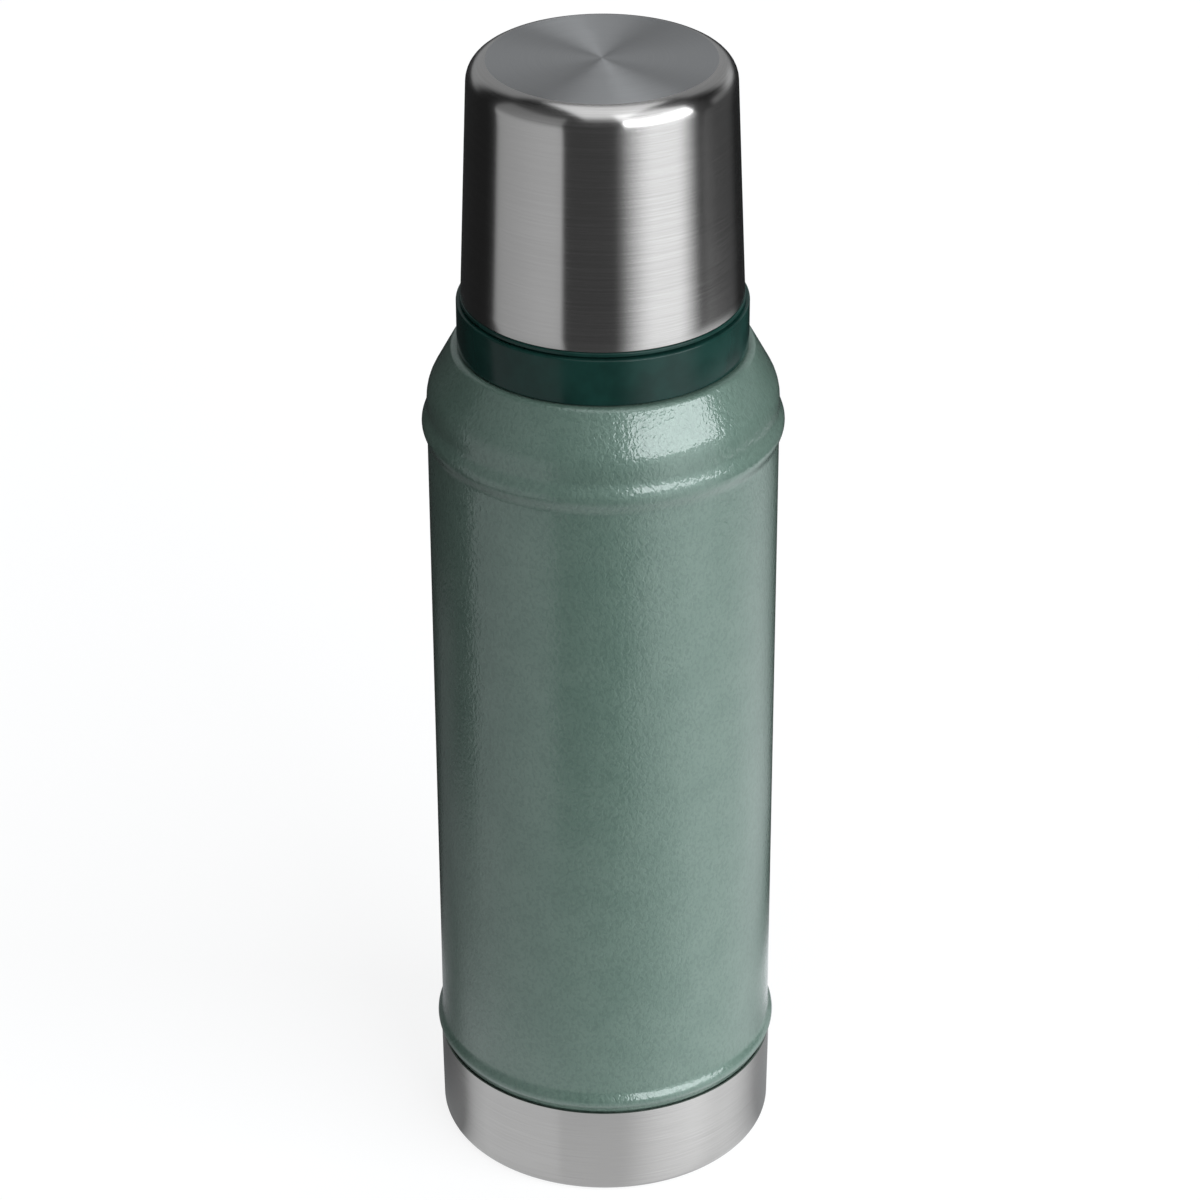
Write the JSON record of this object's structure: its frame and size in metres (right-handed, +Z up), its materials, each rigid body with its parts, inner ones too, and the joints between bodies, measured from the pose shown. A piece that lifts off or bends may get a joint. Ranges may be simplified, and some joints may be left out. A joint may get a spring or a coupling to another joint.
{
  "type": "vacuum flask",
  "caption": "Handle-less cylindrical steel vacuum flask with a painted body, bare base, plastic collar, screw-on drinking cup and pour-through stopper.",
  "frame": {"origin": "centre of the circle that the flask stands on, in the plane of that surface", "axes": "+Z up along the axis that the flask is turned round; X and Y are level, and the thread starts lie on +X"},
  "size_m": [0.09, 0.09, 0.3027],
  "materials": {
    "hammertone_paint": "hammered gloss enamel",
    "brushed_steel": "brushed round the axis, spun on the crown",
    "vessel_steel": "satin, electropolished",
    "green_plastic": "satin",
    "dark_plastic": "matte",
    "silicone": "matte",
    "foam": "matte",
    "fibre": "matte",
    "copper_foil": "polished",
    "braze": "satin",
    "getter": "matte"
  },
  "bodies": {
    "bottle": {"outer_shell": "hammertone_paint", "base_cup": "brushed_steel", "base_pad": "fibre", "outer_bottom": "vessel_steel", "vacuum_seal": "braze", "getter_clip": "vessel_steel", "getter_pellet": "getter", "radiation_foil": "copper_foil", "inner_bottom": "vessel_steel", "inner_vessel": "vessel_steel", "inner_neck": "vessel_steel", "neck_collar": "green_plastic"},
    "cup_ring": {"cup_seal": "silicone"},
    "cup": {"cup_shell": "brushed_steel", "cup_liner": "green_plastic"},
    "stopper_ring": {"stopper_gasket": "silicone"},
    "stopper": {"stopper_body": "dark_plastic", "stopper_cap": "green_plastic", "stopper_foam": "foam", "stopper_base": "dark_plastic"}
  },
  "joints": [
    {"name": "cup_lift", "type": "slide", "parent": "bottle", "child": "cup_ring", "axis": [0, 0, 1], "range_m": [0, 0.01]},
    {"name": "cup_turn", "type": "hinge", "parent": "cup_ring", "child": "cup", "pos_m": [0, 0, 0.241], "axis": [0, 0, 1], "range_deg": [0, 721]},
    {"name": "stopper_lift", "type": "slide", "parent": "bottle", "child": "stopper_ring", "axis": [0, 0, 1], "range_m": [0, 0.01]},
    {"name": "stopper_turn", "type": "hinge", "parent": "stopper_ring", "child": "stopper", "pos_m": [0, 0, 0.2614], "axis": [0, 0, 1], "range_deg": [0, 721]}
  ],
  "couplings": [
    {"joint": "cup_turn", "follows": "cup_lift", "rad_per_m": 1256.6},
    {"joint": "stopper_turn", "follows": "stopper_lift", "rad_per_m": 1256.6}
  ]
}
